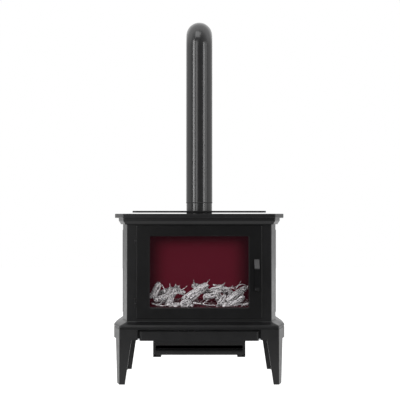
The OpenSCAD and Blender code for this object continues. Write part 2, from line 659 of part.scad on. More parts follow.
control_y = body_y + 8;
control_half = notch_half + 13;
rocker_xs = [-80, -45, -10];
rocker_z = leg_h + 16;
rocker_axis = control_y + 1;
rocker_tilt = 8;
knob_x = 60;
switch_w = 15;
switch_h = 25;
wall = 1.2;

module control_panel() color([0.1, 0.1, 0.1]) difference() {
    union() {
        block([-control_half, control_y, leg_h - 2], [control_half, control_y + 2, body_z]);
        block([-control_half, control_y, body_z - 2], [control_half, control_y + 18, body_z]);
    }
    for (x = rocker_xs) block([x - switch_w / 2, control_y - cut, rocker_z - switch_h / 2],
        [x + switch_w / 2, control_y + 4, rocker_z + switch_h / 2]);
    rod_y(control_y - cut, control_y + 4, knob_x, rocker_z, 4);
}
module switch_bodies() color([0.07, 0.07, 0.07]) {
    for (x = rocker_xs) difference() {
        union() {
            block([x - switch_w / 2, control_y - 1, rocker_z - switch_h / 2],
                [x + switch_w / 2, control_y + 16, rocker_z + switch_h / 2]);
            block([x - switch_w / 2 - 1.5, control_y - 1.5, rocker_z - switch_h / 2 - 1.5],
                [x + switch_w / 2 + 1.5, control_y, rocker_z + switch_h / 2 + 1.5]);
        }
        block([x - switch_w / 2 + wall, control_y - 4, rocker_z - switch_h / 2 + wall],
            [x + switch_w / 2 - wall, control_y + 10, rocker_z + switch_h / 2 - wall]);
        rod_x(x - switch_w / 2 + 0.4, x + switch_w / 2 - 0.4, rocker_axis, rocker_z, 1 + fit);
    }
    difference() {
        union() {
            rod_y(control_y + 2, control_y + 14, knob_x, rocker_z, 12);
            rod_y(control_y - 4, control_y + 4, knob_x, rocker_z, 4);
        }
        rod_y(control_y - 5, control_y + 10, knob_x, rocker_z, 2.5 + fit);
    }
}
module rocker(x) color([0.03, 0.03, 0.03]) translate([x, rocker_axis, rocker_z]) rotate([rocker_tilt, 0, 0]) {
    along_x(-switch_w / 2 + wall + clear, switch_w / 2 - wall - clear)
        polygon([[5, -6], [5, 6], [-2, 10.4], [-5.4, 10.4], [-3.9, 0], [-5.4, -10.4], [-2, -10.4]]);
    rod_x(-switch_w / 2 + 0.6, switch_w / 2 - 0.6, 0, 0, 1);
}
module rocker_power() rocker(rocker_xs[0]);
module rocker_low_heat() rocker(rocker_xs[1]);
module rocker_high_heat() rocker(rocker_xs[2]);

module thermostat_knob() color([0.05, 0.05, 0.05]) {
    difference() {
        rod_y(control_y - 14, control_y - 4.5, knob_x, rocker_z, 11);
        translate([knob_x, control_y, rocker_z]) {
            for (a = [0:20:340]) rotate([0, a, 0]) rod_y(-15, -7, 0, 11.6, 1.1);
            rotate([0, -135, 0]) block([-0.6, -15, 2], [0.6, -13.3, 10]);
        }
    }
    rod_y(control_y - 6, control_y + 9, knob_x, rocker_z, 2.5);
}

plinth();
leg_front_left();
leg_front_right();
leg_rear_left();
leg_rear_right();
foot_pads();
leg_bolts();
base_plate();
front_surround();
side_panel_left();
side_panel_right();
rear_panel();
panel_screws();
cable_gland();
cornice();
top_plate();
plate_spacers();
flue_collar();
flue_pipe();
door_frame();
door_glass();
glass_clips();
door_knuckles();
hinge_brackets();
hinge_pins();
door_handle();
handle_bolts();
strike_plate();
magnet_catch();
firebox_liner();
flame_screen();
ember_bed();
log_left();
log_centre();
log_cross();
log_right();
log_rear_left();
log_front_left();
log_rear_right();
log_front_right();
led_board();
flame_spindle();
spindle_bearings();
spindle_motor();
heater_box();
outlet_deflector();
heater_brackets();
outlet_grille();
heating_element();
fan_impeller();
fan_motor();
fan_bearing();
apron_flap();
flap_pins();
control_panel();
switch_bodies();
rocker_power();
rocker_low_heat();
rocker_high_heat();
thermostat_knob();
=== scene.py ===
"""Looks for the electric stove: rounded edges, paint, the seal under the pipe, the glazed firebox
with its driftwood logs and embers, and the studio round it."""

import json
import math
import random

import bmesh
import bpy
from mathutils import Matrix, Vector, noise


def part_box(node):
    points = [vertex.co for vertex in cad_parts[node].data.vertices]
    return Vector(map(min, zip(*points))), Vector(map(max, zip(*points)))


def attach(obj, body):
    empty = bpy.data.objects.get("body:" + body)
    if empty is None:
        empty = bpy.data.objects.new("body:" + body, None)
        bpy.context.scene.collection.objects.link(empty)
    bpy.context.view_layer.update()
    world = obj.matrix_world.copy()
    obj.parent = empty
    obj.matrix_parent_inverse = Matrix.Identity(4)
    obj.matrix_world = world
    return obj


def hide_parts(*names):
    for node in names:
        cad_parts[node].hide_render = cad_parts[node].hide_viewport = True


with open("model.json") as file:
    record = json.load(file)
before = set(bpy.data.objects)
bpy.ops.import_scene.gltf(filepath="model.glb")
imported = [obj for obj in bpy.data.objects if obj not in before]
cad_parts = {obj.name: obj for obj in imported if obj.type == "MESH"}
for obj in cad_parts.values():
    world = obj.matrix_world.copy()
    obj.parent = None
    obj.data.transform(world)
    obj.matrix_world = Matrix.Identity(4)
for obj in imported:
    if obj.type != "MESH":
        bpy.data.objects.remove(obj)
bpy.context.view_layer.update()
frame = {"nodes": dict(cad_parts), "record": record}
nodes = frame["nodes"]

noise.seed_set(5)             # noise_vector takes its offsets from the clock otherwise
MM = 0.001                    # everything here is in metres
UM = 0.001 * MM               # the unit of the bumps in the materials

# ------------------------------------------------------------------ camera
SENSOR_WIDTH = 36.0           # mm
LENS = 76.05                  # mm, a long lens a little under three metres away
STAND_OFF = 2.906             # camera to the front of the base, m
ASIDE = 2.7 * MM              # camera to the right of the stove's middle
TILT = math.radians(0.93)     # how far it looks above the level
FAR_CLIP = 100                # m


def make_camera():
    """An almost level view from in front, with the eye at the height of the cornice's top edge."""
    data = bpy.data.cameras.new("camera")
    data.sensor_width = SENSOR_WIDTH
    data.lens = LENS
    data.clip_end = FAR_CLIP
    cam = bpy.data.objects.new("camera", data)
    bpy.context.scene.collection.objects.link(cam)
    cam.location = (ASIDE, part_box("plinth")[0].y - STAND_OFF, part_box("cornice")[1].z)
    cam.rotation_euler = (math.pi / 2 + TILT, 0, 0)
    bpy.context.scene.camera = cam


# ------------------------------------------------------------------ materials
GLASS_IOR = 1.45
GLASS_COATING = 0.07          # the share of an uncoated pane's reflection that is left
PAINTED_GLOW_DROP = 20 * MM        # how far below the screen's middle its painted glow is brightest
PAINTED_GLOW_FACE = (0.2, 0.4)      # shares of the screen's thickness between which its painted glow ends
EMBER_PAINTED_GLOW = 0.25
PAINTED_SHEEN_SPAN = (34 * MM, 28 * MM)   # below the handle's top: where the painted sheen on its head starts and is full
MIX_FACTOR, MIX_A, MIX_B, MIX_RESULT = 0, 6, 7, 2   # a Mix node's sockets for colours


def new_material(name):
    mat = bpy.data.materials.new(name)
    mat.use_nodes = True
    return mat, mat.node_tree, mat.node_tree.nodes["Principled BSDF"]


def add(tree, kind, **values):
    """A node of that kind, with its properties and inputs set by name."""
    node = tree.nodes.new(kind)
    for key, value in values.items():
        if hasattr(node, key):
            setattr(node, key, value)
        else:
            node.inputs[key.replace("_", " ")].default_value = value
    return node


def noise_tex(tree, scale, detail=3.0, rough=0.55, stretch=None):
    """Noise in the object's own space, stretched along its axes where asked."""
    coords = add(tree, "ShaderNodeTexCoord")
    tex = add(tree, "ShaderNodeTexNoise", Scale=scale, Detail=detail, Roughness=rough)
    if stretch:
        mapping = add(tree, "ShaderNodeMapping")
        mapping.inputs["Scale"].default_value = stretch
        tree.links.new(coords.outputs["Object"], mapping.inputs["Vector"])
        tree.links.new(mapping.outputs["Vector"], tex.inputs["Vector"])
    else:
        tree.links.new(coords.outputs["Object"], tex.inputs["Vector"])
    return tex.outputs["Fac"]


def ramp(tree, source, stops):
    """A colour ramp through (position, colour) stops."""
    node = add(tree, "ShaderNodeValToRGB")
    elements = node.color_ramp.elements
    while len(elements) < len(stops):
        elements.new(0.5)
    for element, (position, colour) in zip(elements, stops):
        element.position = position
        element.color = (*colour, 1.0)
    tree.links.new(source, node.inputs["Fac"])
    return node.outputs["Color"]


def spread(tree, source, low, high, start=0.3, end=0.7):
    """Maps a value from start..end to low..high."""
    node = add(tree, "ShaderNodeMapRange", From_Min=start, From_Max=end, To_Min=low, To_Max=high)
    tree.links.new(source, node.inputs["Value"])
    return node.outputs["Result"]


def bump(tree, shader, source, distance):
    node = add(tree, "ShaderNodeBump", Strength=1.0, Distance=distance)
    tree.links.new(source, node.inputs["Height"])
    tree.links.new(node.outputs["Normal"], shader.inputs["Normal"])


def shaded(colour, factor):
    """The colour, lighter or darker by a factor."""
    return tuple(min(1.0, c * factor) for c in colour)


def mottled(tree, shader, source, darker, lighter):
    """Colours a shader from a noise value, between two colours."""
    tree.links.new(ramp(tree, source, [(0.3, darker), (0.7, lighter)]), shader.inputs["Base Color"])


def roughened(tree, shader, scale, detail, low, high):
    """Varies a shader's roughness between two values."""
    tree.links.new(spread(tree, noise_tex(tree, scale, detail), low, high), shader.inputs["Roughness"])


def painted(name, base, rough, mottle=0.25, grain=60 * UM, gloss=0.22):
    """Stove paint: cloudy colour and sheen, over the fine grain of the metal under it."""
    mat, tree, shader = new_material(name)
    mottled(tree, shader, noise_tex(tree, 9, 4), shaded(base, 1 - mottle), shaded(base, 1 + mottle))
    roughened(tree, shader, 45, 5, rough - 0.03, rough + 0.04)
    shader.inputs["Specular IOR Level"].default_value = gloss
    bump(tree, shader, noise_tex(tree, 420, 2), grain)
    return mat


def metal(name, base, rough, stretch=(1, 1, 1)):
    """Bare metal with faint streaks."""
    mat, tree, shader = new_material(name)
    shader.inputs["Metallic"].default_value = 1.0
    streak = noise_tex(tree, 240, 4, stretch=stretch)
    mottled(tree, shader, streak, shaded(base, 0.8), shaded(base, 1.1))
    roughened(tree, shader, 60, 3, rough - 0.08, rough + 0.1)
    bump(tree, shader, streak, 20 * UM)
    return mat


def moulded(name, base, rough, mottle=0.15):
    """Moulded plastic or rubber with a fine sparked texture."""
    mat, tree, shader = new_material(name)
    mottled(tree, shader, noise_tex(tree, 35, 3), shaded(base, 1 - mottle), shaded(base, 1 + mottle))
    roughened(tree, shader, 120, 2, rough - 0.06, rough + 0.08)
    bump(tree, shader, noise_tex(tree, 900, 2), 30 * UM)
    return mat


def window_glass():
    """Thin coated glass: mostly see-through, with a faint reflection that grows towards the edge."""
    mat, tree, shader = new_material("window_glass")
    tree.nodes.remove(shader)
    clear = add(tree, "ShaderNodeBsdfTransparent")
    gloss = add(tree, "ShaderNodeBsdfGlossy")
    fresnel = add(tree, "ShaderNodeFresnel", IOR=GLASS_IOR)
    coating = add(tree, "ShaderNodeMath", operation="MULTIPLY")
    coating.inputs[1].default_value = GLASS_COATING
    mix = add(tree, "ShaderNodeMixShader")
    tint = ramp(tree, noise_tex(tree, 5, 2), [(0.2, (0.89, 0.89, 0.9)), (0.8, (0.93, 0.93, 0.935))])
    tree.links.new(tint, clear.inputs["Color"])
    tree.links.new(spread(tree, noise_tex(tree, 14, 3), 0.03, 0.07), gloss.inputs["Roughness"])
    tree.links.new(fresnel.outputs["Fac"], coating.inputs[0])
    tree.links.new(coating.outputs["Value"], mix.inputs["Fac"])
    tree.links.new(clear.outputs["BSDF"], mix.inputs[1])
    tree.links.new(gloss.outputs["BSDF"], mix.inputs[2])
    tree.links.new(mix.outputs["Shader"], tree.nodes["Material Output"].inputs["Surface"])
    return mat


def flame_screen_painted_glow():
    """The diffusing screen: a painted glow, wine red in the middle, with painted shade darkening it
    towards its edges.

    Only its front face has the painted glow, so that no red shows through the vents at the rear.
    """
    mat, tree, shader = new_material("flame_screen_painted_glow")
    low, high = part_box("flame_screen")
    middle = (low + high) / 2
    coords = add(tree, "ShaderNodeTexCoord")
    mapping = add(tree, "ShaderNodeMapping")
    mapping.inputs["Location"].default_value = (-middle.x, -middle.y, -(middle.z - PAINTED_GLOW_DROP))
    tree.links.new(coords.outputs["Object"], mapping.inputs["Vector"])
    scaled = add(tree, "ShaderNodeMapping")
    scaled.inputs["Scale"].default_value = (1 / (high.x - middle.x), 0, 1 / (high.z - middle.z))
    tree.links.new(mapping.outputs["Vector"], scaled.inputs["Vector"])
    power = scaled.outputs["Vector"]
    for _ in range(2):                                # squared twice, for a painted glow with square shoulders
        product = add(tree, "ShaderNodeVectorMath", operation="MULTIPLY")
        tree.links.new(power, product.inputs[0])
        tree.links.new(power, product.inputs[1])
        power = product.outputs["Vector"]
    length = add(tree, "ShaderNodeVectorMath", operation="LENGTH")
    tree.links.new(power, length.inputs[0])
    reach = spread(tree, length.outputs["Value"], 0.0, 1.0, 0.0, math.sqrt(2))
    # painted glow, brightest a little below the middle, with painted shade darkening it towards the
    # edges
    painted_glow = ramp(tree, reach, [
        (0.0, (0.083, 0.0078, 0.0155)), (0.12, (0.078, 0.0075, 0.0145)), (0.3, (0.042, 0.0055, 0.009)),
        (0.5, (0.019, 0.0035, 0.0055)), (1.0, (0.008, 0.003, 0.004)),
    ])
    mottled(tree, shader, noise_tex(tree, 6, 3), (0.012, 0.0016, 0.003), (0.018, 0.0024, 0.0045))
    split = add(tree, "ShaderNodeSeparateXYZ")
    tree.links.new(coords.outputs["Object"], split.inputs["Vector"])
    start, end = (low.y + share * (high.y - low.y) for share in PAINTED_GLOW_FACE)
    facing = add(tree, "ShaderNodeMix", data_type="RGBA")
    facing.inputs[MIX_A].default_value = (0.0, 0.0, 0.0, 1.0)
    tree.links.new(spread(tree, split.outputs["Y"], 1.0, 0.0, start, end), facing.inputs[MIX_FACTOR])
    tree.links.new(painted_glow, facing.inputs[MIX_B])
    tree.links.new(facing.outputs[MIX_RESULT], shader.inputs["Emission Color"])
    shader.inputs["Emission Strength"].default_value = 1.0
    shader.inputs["Specular IOR Level"].default_value = 0.02
    roughened(tree, shader, 30, 3, 0.45, 0.6)
    bump(tree, shader, noise_tex(tree, 500, 2), 40 * UM)
    return mat


def ember_red():
    """Tinted resin embers, deep red to paler red in patches of noise, with the same colour given as a
    faint painted glow.
    """
    mat, tree, shader = new_material("ember_red")
    lumps = noise_tex(tree, 55, 5, 0.6)
    colour = ramp(tree, lumps, [
        (0.3, (0.012, 0.002, 0.003)), (0.5, (0.05, 0.006, 0.011)), (0.72, (0.11, 0.02, 0.03)),
    ])
    tree.links.new(colour, shader.inputs["Base Color"])
    tree.links.new(colour, shader.inputs["Emission Color"])
    # painted glow: the embers shine with their own colour, though no lamp lies in them
    shader.inputs["Emission Strength"].default_value = EMBER_PAINTED_GLOW
    roughened(tree, shader, 90, 3, 0.3, 0.55)
    bump(tree, shader, noise_tex(tree, 260, 4), 900 * UM)
    return mat


def driftwood(name, pale, dark):
    """Bleached wood: the grain attribute runs from the cracks to the ridges."""
    mat, tree, shader = new_material(name)
    grain = add(tree, "ShaderNodeAttribute", attribute_name="grain")
    # dark in the cracks: partly the wood's own colour, partly painted shade
    blotch_and_crack_shade = add(tree, "ShaderNodeMath", operation="MULTIPLY_ADD")
    blotch_and_crack_shade.inputs[1].default_value = 0.5
    tree.links.new(noise_tex(tree, 140, 5, 0.65), blotch_and_crack_shade.inputs[0])
    tree.links.new(grain.outputs["Fac"], blotch_and_crack_shade.inputs[2])
    colour = ramp(tree, blotch_and_crack_shade.outputs["Value"], [
        (0.4, dark), (0.58, shaded(pale, 0.4)), (0.8, shaded(pale, 0.85)), (1.0, pale),
    ])
    tree.links.new(colour, shader.inputs["Base Color"])
    tree.links.new(spread(tree, grain.outputs["Fac"], 0.9, 0.7), shader.inputs["Roughness"])
    shader.inputs["Specular IOR Level"].default_value = 0.25
    bump(tree, shader, noise_tex(tree, 700, 4), 500 * UM)
    return mat


def handle_paint():
    """Black handle paint, with a painted sheen that makes the broad head paler than the grip."""
    mat, tree, shader = new_material("handle_black")
    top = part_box("door_handle")[1].z
    start, end = (top - drop for drop in PAINTED_SHEEN_SPAN)
    coords = add(tree, "ShaderNodeTexCoord")
    split = add(tree, "ShaderNodeSeparateXYZ")
    tree.links.new(coords.outputs["Object"], split.inputs["Vector"])
    head = spread(tree, split.outputs["Z"], 0.0, 1.0, start, end)
    painted_head_sheen = add(tree, "ShaderNodeMath", operation="MULTIPLY_ADD")
    painted_head_sheen.inputs[1].default_value = 0.2
    tree.links.new(noise_tex(tree, 90, 4), painted_head_sheen.inputs[0])
    tree.links.new(head, painted_head_sheen.inputs[2])
    # painted sheen: the head is paler, and the grip varies a little at random
    colour = ramp(tree, painted_head_sheen.outputs["Value"], [
        (0.05, (0.0025, 0.0025, 0.0027)), (0.2, (0.004, 0.004, 0.0042)), (1.0, (0.045, 0.045, 0.046)),
    ])
    tree.links.new(colour, shader.inputs["Base Color"])
    roughened(tree, shader, 60, 3, 0.28, 0.36)
    shader.inputs["Specular IOR Level"].default_value = 0.12
    bump(tree, shader, noise_tex(tree, 420, 2), 40 * UM)
    return mat


def circuit_board():
    """Green lacquer over copper tracks."""
    mat, tree, shader = new_material("circuit_board")
    tracks = noise_tex(tree, 160, 1, stretch=(1, 4, 1))
    tree.links.new(ramp(tree, tracks, [(0.45, (0.01, 0.07, 0.03)), (0.55, (0.03, 0.16, 0.08))]),
                   shader.inputs["Base Color"])
    tree.links.new(spread(tree, tracks, 0.35, 0.5), shader.inputs["Roughness"])
    bump(tree, shader, tracks, 60 * UM)
    return mat


def make_materials():
    """One material for each of the record's slots."""
    cast, soot = (0.0045, 0.0045, 0.0048), (0.008, 0.008, 0.0084)
    return {
        "cast_black": painted("cast_black", cast, 0.34, grain=90 * UM, gloss=0.3),
        "body_black": painted("body_black", (0.0035, 0.0035, 0.0038), 0.33, gloss=0.26),
        "panel_black": painted("panel_black", cast, 0.33, grain=40 * UM, gloss=0.28),
        "pipe_black": painted("pipe_black", (0.0075, 0.0075, 0.0078), 0.19, mottle=0.12,
                              grain=1.2 * UM, gloss=0.5),
        "door_black": painted("door_black", (0.0024, 0.0024, 0.0026), 0.33, grain=70 * UM, gloss=0.19),
        "handle_black": handle_paint(),
        "liner_black": painted("liner_black", soot, 0.7, grain=80 * UM),
        "zinc": metal("zinc", (0.55, 0.56, 0.58), 0.35),
        "rubber_black": moulded("rubber_black", (0.012, 0.012, 0.012), 0.8),
        "plastic_black": moulded("plastic_black", (0.014, 0.014, 0.015), 0.5),
        "door_glass": window_glass(),
        "screen_red": flame_screen_painted_glow(),
        "ember_red": ember_red(),
        "log_grey": driftwood("log_grey", (0.86, 0.83, 0.82), (0.035, 0.023, 0.024)),
        "board_green": circuit_board(),
        "motor_grey": metal("motor_grey", (0.32, 0.32, 0.34), 0.45, stretch=(4, 1, 1)),
        "element_ceramic": moulded("element_ceramic", (0.5, 0.46, 0.4), 0.7, mottle=0.2),
    }


# ------------------------------------------------------------------ mesh helpers
WELD = 2 * UM
FLAT_ANGLE = math.radians(0.6)    # faces that meet at less than this become one
EDGE_ANGLE = math.radians(28)     # edges sharper than this are rounded


def link(name, mesh, body, material):
    """A new piece that rides on a body, with its material."""
    piece = bpy.data.objects.new(name, mesh)
    bpy.context.scene.collection.objects.link(piece)
    piece.data.materials.clear()
    piece.data.materials.append(material)
    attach(piece, body)
    return piece


def smooth(mesh, angle=32):
    """Smooth shading, except across edges sharper than the angle."""
    for polygon in mesh.polygons:
        polygon.use_smooth = True
    mesh.set_sharp_from_angle(angle=math.radians(angle))


def mesh_from(bm, name, angle=32):
    """The finished, shaded mesh of a bmesh."""
    mesh = bpy.data.meshes.new(name)
    bmesh.ops.recalc_face_normals(bm, faces=bm.faces)
    bm.to_mesh(mesh)
    bm.free()
    smooth(mesh, angle)
    return mesh


def softened(node, body, material, width):
    """Replaces a CAD node by a copy with its sharp edges rounded, as on a casting or a folded sheet."""
    bm = bmesh.new()
    bm.from_mesh(nodes[node].data)
    bmesh.ops.remove_doubles(bm, verts=bm.verts, dist=WELD)
    bmesh.ops.dissolve_limit(bm, angle_limit=FLAT_ANGLE, verts=bm.verts, edges=bm.edges)
    piece = link(node + "_finish", mesh_from(bm, node), body, material)
    bevel = piece.modifiers.new("edges", "BEVEL")
    bevel.width = width
    bevel.segments = 2
    bevel.limit_method = "ANGLE"
    bevel.angle_limit = EDGE_ANGLE
    bevel.use_clamp_overlap = True
    bevel.miter_outer = "MITER_ARC"
    flats = piece.modifiers.new("flats", "WEIGHTED_NORMAL")
    flats.weight = 100                                # the flat faces' normals win
    flats.keep_sharp = True
    graph = bpy.context.evaluated_depsgraph_get()
    final = bpy.data.meshes.new_from_object(piece.evaluated_get(graph))
    piece.modifiers.clear()
    piece.data = final
    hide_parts(node)


# ------------------------------------------------------------------ studio
# What the stove mirrors: how bright the studio is, by the direction's Y, from its front to its rear.
WORLD = ((-1.0, 0.3), (-0.74, 0.3), (-0.3, 0.75), (0.0, 1.15), (0.4, 0.85), (0.9, 0.85), (1.0, 1.2))
OVERHEAD = 1.6                # how much brighter it is high up
HIGH_UP = (0.1, 0.55)         # direction's Z between which that grows
SOFTBOX_HEIGHT = 1.2
SOFTBOX_AIM = 0.65
FLOOR_REACH = 6.0
FLOOR_NEAR = -0.8             # the floor's front edge, so close that the door mirrors little of it


def sheet_of_light(name, place, target, size, power):
    """A rectangular lamp that points at a target."""
    data = bpy.data.lights.new(name, "AREA")
    data.shape = "RECTANGLE"
    data.size, data.size_y = size
    data.energy = power
    lamp = bpy.data.objects.new(name, data)
    bpy.context.scene.collection.objects.link(lamp)
    lamp.location = place
    lamp.rotation_euler = (Vector(target) - Vector(place)).to_track_quat("-Z", "Y").to_euler()


def make_world():
    """A white backdrop, and a studio to mirror that is bright at the sides and dim in front."""
    world = bpy.data.worlds.new("studio")
    bpy.context.scene.world = world
    world.use_nodes = True
    tree = world.node_tree
    coords = add(tree, "ShaderNodeTexCoord")
    split = add(tree, "ShaderNodeSeparateXYZ")
    tree.links.new(coords.outputs["Generated"], split.inputs["Vector"])
    peak = max(value for _, value in WORLD)
    level = spread(tree, split.outputs["Y"], 0.0, 1.0, -1.0, 1.0)
    colour = ramp(tree, level, [((y + 1) / 2, (value / peak,) * 3) for y, value in WORLD])
    studio = tree.nodes["Background"]
    tree.links.new(colour, studio.inputs["Color"])
    tree.links.new(spread(tree, split.outputs["Z"], peak, peak * OVERHEAD, *HIGH_UP),
                   studio.inputs["Strength"])
    backdrop = add(tree, "ShaderNodeBackground", Color=(1, 1, 1, 1), Strength=1.0)
    seen = add(tree, "ShaderNodeLightPath")
    mix = add(tree, "ShaderNodeMixShader")
    tree.links.new(seen.outputs["Is Camera Ray"], mix.inputs["Fac"])
    tree.links.new(studio.outputs["Background"], mix.inputs[1])
    tree.links.new(backdrop.outputs["Background"], mix.inputs[2])
    tree.links.new(mix.outputs["Shader"], tree.nodes["World Output"].inputs["Surface"])


def make_stage():
    """A white floor that glows enough to lose the shadow."""
    mat, tree, shader = new_material("stage_white")
    mottled(tree, shader, noise_tex(tree, 1.5, 2), (0.2, 0.2, 0.2), (0.22, 0.22, 0.22))
    shader.inputs["Roughness"].default_value = 0.95
    shader.inputs["Specular IOR Level"].default_value = 0.0
    shader.inputs["Emission Color"].default_value = (1, 1, 1, 1)
    shader.inputs["Emission Strength"].default_value = 1.0
    left, right, near, far = -FLOOR_REACH, FLOOR_REACH, FLOOR_NEAR, FLOOR_REACH
    corners = ((left, near, 0), (right, near, 0), (right, far, 0), (left, far, 0))
    bm = bmesh.new()
    bm.faces.new([bm.verts.new(corner) for corner in corners])
    mesh = mesh_from(bm, "floor", 60)
    mesh.materials.append(mat)
    floor = bpy.data.objects.new("floor", mesh)
    bpy.context.scene.collection.objects.link(floor)


def softbox(name, azimuth, away, size, power):
    """An upright softbox, its azimuth in degrees to the right of straight in front of the stove."""
    turn = math.radians(azimuth)
    place = (away * math.sin(turn), -away * math.cos(turn), SOFTBOX_HEIGHT)
    sheet_of_light(name, place, (0, 0, SOFTBOX_AIM), size, power)


def make_lights():
    """Narrow softboxes for the pipe's bright stripes, wide ones beside them, and one from above."""
    softbox("key_left", azimuth=-49, away=2.2, size=(0.4, 2.2), power=26)
    softbox("wide_left", azimuth=-24, away=2.0, size=(0.6, 1.9), power=10)
    softbox("key_right", azimuth=42, away=3.3, size=(0.5, 2.4), power=29)
    softbox("wide_right", azimuth=60, away=3.3, size=(1.2, 2.4), power=15)
    sheet_of_light("top", (-0.4, -1.2, 3.2), (0, 0, 0.3), (1.6, 1.2), 17)


# ------------------------------------------------------------------ the stove
CAST_EDGE = 1.3 * MM
SHEET_EDGE = 0.45 * MM
SOFTENED = [                  # the nodes whose edges are rounded, and by how much
    ("plinth", CAST_EDGE), ("cornice", 0.8 * MM), ("front_surround", 0.7 * MM),
    ("door_frame", 1.8 * MM), ("leg_front_left", CAST_EDGE), ("leg_front_right", CAST_EDGE),
    ("leg_rear_left", CAST_EDGE), ("leg_rear_right", CAST_EDGE), ("top_plate", 1.2 * MM),
    ("apron_flap", 2.0 * MM), ("door_handle", 1.6 * MM), ("side_panel_left", SHEET_EDGE),
    ("side_panel_right", SHEET_EDGE), ("rear_panel", SHEET_EDGE),
    ("heater_box", SHEET_EDGE), ("outlet_deflector", 0.6 * MM), ("heater_brackets", SHEET_EDGE),
    ("flue_collar", 0.5 * MM), ("hinge_brackets", 0.4 * MM), ("door_knuckles", 0.4 * MM),
    ("control_panel", SHEET_EDGE), ("thermostat_knob", 0.4 * MM), ("cable_gland", 0.6 * MM),
]


def dress_frame(materials):
    """Rounds the edges of what shows and gives every CAD node its finish."""
    record = frame["record"]
    slots = {entry["node"]: entry["material_slot"] for entry in record["subparts"]}
    bodies = record["behaviour"]["bodies"]
    body_of = {node: body for body, members in bodies.items() for node in members}
    finish = {node: materials[slot] for node, slot in slots.items()}
    finish["flue_collar"] = materials["pipe_black"]   # it shines as the pipe does
    for node, obj in nodes.items():
        obj.data.materials.clear()
        obj.data.materials.append(finish[node])
        smooth(obj.data)
    for node, width in SOFTENED:
        softened(node, body_of[node], finish[node], width)


# ------------------------------------------------------------------ logs
CAP = 0.08                    # the share of a CAD log's length that counts as its end
CAP_ROUNDS = 8
CORE_STEPS = 26
CORE_SIDES = 26
CORE_SHARE = 0.66             # of the log's radius
TWIST = 0.5                   # how far the splinters wind round a stick, radians
LOGS = ["log_left", "log_centre", "log_cross", "log_right", "log_rear_left", "log_front_left",
        "log_rear_right", "log_front_right"]


def across(direction):
    """Two unit vectors square to a direction and to each other."""
    side = direction.cross(Vector((0, 0, 1)))
    side = side.normalized() if side.length > 1e-3 else Vector((1, 0, 0))
    return side, direction.cross(side).normalized()


def limb(bm, layer, spine, radii, sides, seed, ridge, splinter=0.0):
    """Skins a limb of wood round a spine: ridged along its grain, with ragged ends.

    The layer keeps the grain, from 0 in the cracks (partly painted shade) to 1 on the ridges.
    """
    offset = Vector((seed * 13.7, seed * 7.1, seed * 3.3))
    rings = []
    count = len(spine)
    travelled = 0.0
    for k, (point, radius) in enumerate(zip(spine, radii)):
        ahead = (spine[min(k + 1, count - 1)] - spine[max(k - 1, 0)]).normalized()
        side, up = across(ahead)
        if k:
            travelled += (point - spine[k - 1]).length
        ring = []
        for s in range(sides):
            turn = 2 * math.pi * s / sides
            around = Vector((math.cos(turn), math.sin(turn), 0))
            streak = noise.fractal(around * 3.2 + Vector((0, 0, travelled * 14)) + offset, 1.0, 2.0, 4)
            fine = noise.noise(around * 9.0 + Vector((0, 0, travelled * 45)) + offset)
            lump = noise.noise(around * 1.1 + Vector((0, 0, travelled * 30)) + offset * 2)
            here = point + side * (math.cos(turn) * radius) + up * (math.sin(turn) * radius)
            flake = Vector((*around.xy * 4, travelled * 120))
            crumb = noise.noise(here * 280 + offset) + 0.8 * noise.noise(flake + offset)
            # the grain follows the ridges and cracks, so the cracks get partly painted shade
            grain = 0.44 + 0.5 * streak + 0.25 * fine + 0.9 * crumb
            reach = radius * (1 + 0.16 * lump) + ridge * (streak * 1.2 + fine * 0.6 + crumb)
            pull = 0.0
            if splinter and k in (0, count - 1):
                tooth = abs(noise.noise(around * 4.5 + offset * 3))
                pull = splinter * tooth * (1 if k else -1)
            place = (point + side * (math.cos(turn) * reach) + up * (math.sin(turn) * reach)
                     + ahead * pull)
            vert = bm.verts.new(place)
            vert[layer] = max(0.0, min(1.0, grain))
            ring.append(vert)
        rings.append(ring)
    for low, high in zip(rings, rings[1:]):
        for s in range(sides):
            t = (s + 1) % sides
            bm.faces.new((low[s], low[t], high[t], high[s]))
    for ring, point, sign in ((rings[0], spine[0], -1), (rings[-1], spine[-1], 1)):
        ahead = (spine[1] - spine[0] if sign < 0 else spine[-1] - spine[-2]).normalized()
        heart = bm.verts.new(point - ahead * sign * radii[0 if sign < 0 else -1] * 0.35)
        heart[layer] = 0.25
        for s in range(sides):
            bm.faces.new((ring[s], ring[(s + 1) % sides], heart))


def curved_spine(start, end, steps, bend, rng):
    """Points from start to end, bowed sideways by bend and a little unsteady."""
    ahead = (end - start).normalized()
    side, up = across(ahead)
    lean = rng.uniform(0, 2 * math.pi)
    bow = side * math.cos(lean) + up * math.sin(lean)
    return [start.lerp(end, k / steps) + bow * (bend * math.sin(math.pi * k / steps))
            for k in range(steps + 1)]


def log_ends(node):
    """The ends and end radii of a CAD log, a tapered cylinder with flat ends, read off its mesh."""
    points = [v.co.copy() for v in nodes[node].data.vertices]
    far = max(points, key=lambda p: (p - points[0]).length)
    opposite = max(points, key=lambda p: (p - far).length)
    axis = (far - opposite).normalized()
    for _ in range(CAP_ROUNDS):                       # the axis and the caps settle together
        heights = [p.dot(axis) for p in points]
        low, high = min(heights), max(heights)
        near = (high - low) * CAP
        caps = [[p for p, h in zip(points, heights) if abs(h - level) < near] for level in (low, high)]
        centres = [Vector([(max(p[k] for p in cap) + min(p[k] for p in cap)) / 2 for k in range(3)])
                   for cap in caps]
        axis = (centres[1] - centres[0]).normalized()
    radii = [max(((p - c) - axis * (p - c).dot(axis)).length for p in cap)
             for cap, c in zip(caps, centres)]
    return centres[0], centres[1], radii[0], radii[1]


